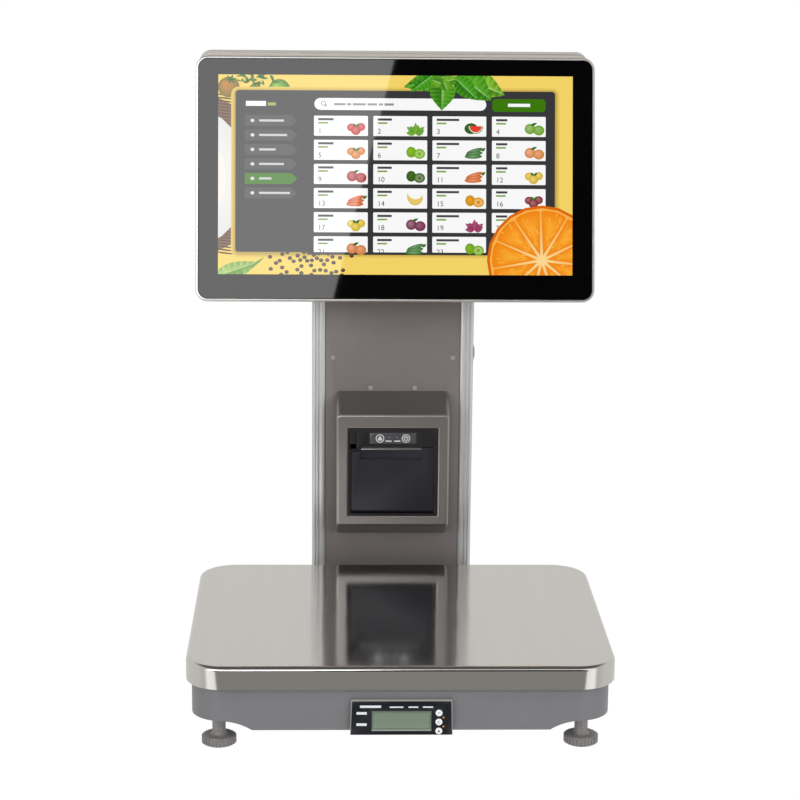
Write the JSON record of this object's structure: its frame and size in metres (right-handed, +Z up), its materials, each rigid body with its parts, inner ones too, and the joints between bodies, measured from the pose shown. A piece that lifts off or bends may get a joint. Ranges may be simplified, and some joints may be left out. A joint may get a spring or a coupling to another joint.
{
  "type": "label printing scale",
  "caption": "Counter scale with a lift-off steel pan, a front weight indicator, and a column that holds a label printer and two tilting screens back to back.",
  "frame": {"origin": "floor level, under the middle of the outline", "axes": "+Z up, +X to the operator's right, -Y towards the operator"},
  "size_m": [0.388, 0.49, 0.5768],
  "materials": {
    "casing_paint": "fine-texture grey powder coat",
    "column_paint": "fine-texture dark grey powder coat",
    "hood_paint": "satin warm grey paint",
    "plinth_steel": "powder coat",
    "floor_steel": "zinc plated sheet",
    "pan_steel": "satin stainless steel",
    "cell_alloy": "machined",
    "cast_alloy": "cast",
    "pad_rubber": "matte",
    "foot_plastic": "moulded grey",
    "level_vial": "clear green",
    "indicator_frame": "light grey moulded",
    "indicator_sheet": "printed black overlay",
    "indicator_glass": "grey green liquid crystal",
    "board": "circuit board",
    "key_white": "white key caps",
    "led_amber": "amber",
    "profile_alloy": "satin anodised extrusion",
    "bracket_steel": "black powder coat",
    "screw_steel": "plated screws and pins",
    "supply_steel": "folded sheet case",
    "inlet_plastic": "black moulded",
    "button_steel": "turned steel",
    "printer_plastic": "black moulded, fine grain",
    "printer_grey": "dark grey overlay",
    "roller_rubber": "smooth",
    "gear_plastic": "natural acetal",
    "pinion_brass": "turned",
    "head_ceramic": "thermal head carrier",
    "label_paper": "paper labels on their liner",
    "rim_alloy": "bright satin rim",
    "screen_glass": "black bordered cover glass",
    "screen_panel": "lit picture",
    "shell_paint": "champagne silver"
  },
  "bodies": {
    "base": {"base_casing": "casing_paint", "base_floor_plate": "floor_steel", "load_cell": "cell_alloy", "load_cell_block": "cell_alloy", "bubble_level": "level_vial", "indicator_housing": "indicator_frame", "indicator_face": "indicator_sheet", "indicator_lcd": "indicator_glass", "indicator_board": "board", "indicator_leds": "led_amber", "column_plinth": "plinth_steel", "column_left_profile": "profile_alloy", "column_right_profile": "profile_alloy", "column_front_panel": "column_paint", "column_rear_cover": "column_paint", "column_top_cap": "column_paint", "head_bracket": "bracket_steel", "panel_screws": "screw_steel", "main_board": "board", "power_supply": "supply_steel", "mains_inlet": "inlet_plastic", "power_button_bezel": "button_steel", "printer_hood": "hood_paint", "printer_bezel": "printer_plastic", "door_hinge_pin": "screw_steel", "stepper_motor": "supply_steel", "control_strip": "printer_grey", "roll_well": "printer_plastic", "hinge_pins": "screw_steel"},
    "foot_front_left": {"foot_front_left": "foot_plastic"},
    "foot_front_right": {"foot_front_right": "foot_plastic"},
    "foot_rear_left": {"foot_rear_left": "foot_plastic"},
    "foot_rear_right": {"foot_rear_right": "foot_plastic"},
    "spider": {"pan_spider": "cast_alloy", "spider_pads": "pad_rubber"},
    "pan": {"weighing_pan": "pan_steel"},
    "zero_key": {"zero_key": "key_white"},
    "tare_key": {"tare_key": "key_white"},
    "unit_key": {"unit_key": "key_white"},
    "power_button": {"power_button": "button_steel"},
    "printer_door": {"printer_door": "printer_plastic", "tear_bar": "screw_steel"},
    "platen": {"platen_roller": "roller_rubber", "platen_gear": "gear_plastic"},
    "pinion": {"motor_pinion": "pinion_brass"},
    "print_head": {"print_head": "head_ceramic"},
    "release_lever": {"release_lever": "printer_plastic"},
    "feed_button": {"feed_button": "printer_grey"},
    "printer_power_button": {"printer_power_button": "printer_grey"},
    "label_roll": {"label_roll": "label_paper"},
    "operator_screen": {"operator_rim": "rim_alloy", "operator_glass": "screen_glass", "operator_lcd": "screen_panel", "operator_rear_shell": "shell_paint", "operator_hinge_leaf": "bracket_steel"},
    "customer_screen": {"customer_rim": "rim_alloy", "customer_glass": "screen_glass", "customer_lcd": "screen_panel", "customer_rear_shell": "shell_paint", "customer_hinge_leaf": "bracket_steel"}
  },
  "joints": [
    {"name": "foot_front_left_level", "type": "slide", "parent": "base", "child": "foot_front_left", "axis": [0, 0, -1], "range_m": [-0.002, 0.008]},
    {"name": "foot_front_right_level", "type": "slide", "parent": "base", "child": "foot_front_right", "axis": [0, 0, -1], "range_m": [-0.002, 0.008]},
    {"name": "foot_rear_left_level", "type": "slide", "parent": "base", "child": "foot_rear_left", "axis": [0, 0, -1], "range_m": [-0.002, 0.008]},
    {"name": "foot_rear_right_level", "type": "slide", "parent": "base", "child": "foot_rear_right", "axis": [0, 0, -1], "range_m": [-0.002, 0.008]},
    {"name": "weigh_travel", "type": "slide", "parent": "base", "child": "spider", "axis": [0, 0, -1], "range_m": [0, 0.0008], "stiffness_N_per_m": 200000},
    {"name": "pan_lift", "type": "slide", "parent": "spider", "child": "pan", "axis": [0, 0, 1], "range_m": [0, 0.025]},
    {"name": "zero_key_press", "type": "slide", "parent": "base", "child": "zero_key", "axis": [0, 1, 0], "range_m": [0, 0.0005], "stiffness_N_per_m": 1000},
    {"name": "tare_key_press", "type": "slide", "parent": "base", "child": "tare_key", "axis": [0, 1, 0], "range_m": [0, 0.0005], "stiffness_N_per_m": 1000},
    {"name": "unit_key_press", "type": "slide", "parent": "base", "child": "unit_key", "axis": [0, 1, 0], "range_m": [0, 0.0005], "stiffness_N_per_m": 1000},
    {"name": "power_button_press", "type": "slide", "parent": "base", "child": "power_button", "axis": [-1, 0, 0], "range_m": [0, 0.0015], "stiffness_N_per_m": 600},
    {"name": "door_swing", "type": "hinge", "parent": "base", "child": "printer_door", "pos_m": [0, 0.1063, 0.123], "axis": [1, 0, 0], "range_deg": [0, 80]},
    {"name": "platen_spin", "type": "hinge", "parent": "printer_door", "child": "platen", "pos_m": [0, 0.11708, 0.179], "axis": [1, 0, 0], "continuous": true},
    {"name": "pinion_spin", "type": "hinge", "parent": "base", "child": "pinion", "pos_m": [0.038, 0.12804, 0.179], "axis": [1, 0, 0], "continuous": true},
    {"name": "print_head_pivot", "type": "hinge", "parent": "base", "child": "print_head", "pos_m": [0, 0.12388, 0.186], "axis": [1, 0, 0], "range_deg": [0, 2], "stiffness_Nm_per_rad": 0.5, "springref_deg": -5.73},
    {"name": "release_lever_press", "type": "slide", "parent": "base", "child": "release_lever", "axis": [0, 0, -1], "range_m": [0, 0.005], "stiffness_N_per_m": 200},
    {"name": "feed_button_press", "type": "slide", "parent": "base", "child": "feed_button", "axis": [0, 1, 0], "range_m": [0, 0.0008], "stiffness_N_per_m": 800},
    {"name": "printer_power_button_press", "type": "slide", "parent": "base", "child": "printer_power_button", "axis": [0, 1, 0], "range_m": [0, 0.0008], "stiffness_N_per_m": 800},
    {"name": "label_roll_spin", "type": "hinge", "parent": "base", "child": "label_roll", "pos_m": [0, 0.146, 0.149], "axis": [1, 0, 0], "continuous": true},
    {"name": "operator_screen_tilt", "type": "hinge", "parent": "base", "child": "operator_screen", "pos_m": [0, 0.131, 0.5], "axis": [1, 0, 0], "range_deg": [-4, 12]},
    {"name": "customer_screen_tilt", "type": "hinge", "parent": "base", "child": "customer_screen", "pos_m": [0, 0.165, 0.5], "axis": [-1, 0, 0], "range_deg": [-4, 12]}
  ],
  "couplings": [
    {"joint": "pinion_spin", "follows": "platen_spin", "ratio": -1.625}
  ]
}
